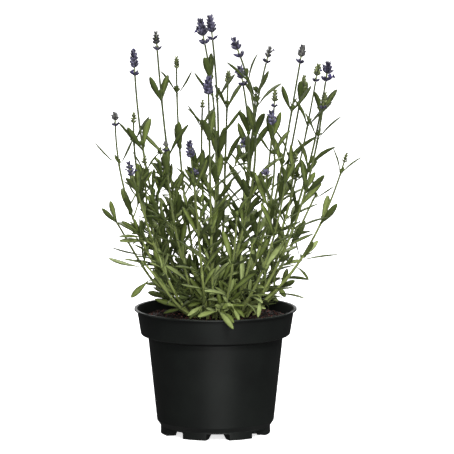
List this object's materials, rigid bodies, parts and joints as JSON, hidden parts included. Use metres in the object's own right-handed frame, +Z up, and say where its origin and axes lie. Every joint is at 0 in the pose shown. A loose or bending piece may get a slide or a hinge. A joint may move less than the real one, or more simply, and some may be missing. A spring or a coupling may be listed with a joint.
{
  "type": "potted lavender",
  "caption": "Bushy flowering lavender in a black moulded nursery pot with a flared lip, a deep collar and notched feet; it stands free on a flat surface.",
  "frame": {"origin": "on the pot's axis, in the plane that the pot's feet stand on", "axes": "+Z up along the pot's axis; +X to the right and +Y to the back, as seen from the front"},
  "size_m": [0.2725, 0.2292, 0.4341],
  "materials": {
    "pot_plastic": "satin",
    "soil": "matte",
    "foliage": "matte",
    "flower": "matte"
  },
  "bodies": {
    "root": {"nursery_pot": "pot_plastic", "potting_soil": "soil", "flower_stem_01": "foliage", "flower_stem_02": "foliage", "flower_stem_03": "foliage", "flower_stem_04": "foliage", "flower_stem_05": "foliage", "flower_stem_06": "foliage", "flower_stem_07": "foliage", "flower_stem_08": "foliage", "flower_stem_09": "foliage", "flower_stem_10": "foliage", "flower_stem_11": "foliage", "flower_stem_12": "foliage", "flower_stem_13": "foliage", "flower_stem_14": "foliage", "flower_stem_15": "foliage", "flower_stem_16": "foliage", "flower_stem_17": "foliage", "flower_stem_18": "foliage", "flower_stem_19": "foliage", "flower_stem_20": "foliage", "flower_stem_21": "foliage", "flower_stem_22": "foliage", "flower_stem_23": "foliage", "flower_stem_24": "foliage", "leafy_shoot_01": "foliage", "leafy_shoot_02": "foliage", "leafy_shoot_03": "foliage", "leafy_shoot_04": "foliage", "leafy_shoot_05": "foliage", "leafy_shoot_06": "foliage", "leafy_shoot_07": "foliage", "leafy_shoot_08": "foliage", "leafy_shoot_09": "foliage", "leafy_shoot_10": "foliage", "flower_spike_01": "flower", "flower_spike_02": "flower", "flower_spike_03": "flower", "flower_spike_04": "flower", "flower_spike_05": "flower", "flower_spike_06": "flower", "flower_spike_07": "flower", "flower_spike_08": "flower", "flower_spike_09": "flower", "flower_spike_10": "flower", "flower_spike_11": "flower", "flower_spike_12": "flower", "flower_spike_13": "flower", "flower_spike_14": "flower", "flower_spike_15": "flower", "flower_spike_16": "flower", "flower_spike_17": "flower", "flower_spike_18": "flower", "flower_spike_19": "flower", "flower_spike_20": "flower", "flower_spike_21": "flower", "flower_spike_22": "flower", "flower_spike_23": "flower", "flower_spike_24": "flower"}
  },
  "joints": []
}
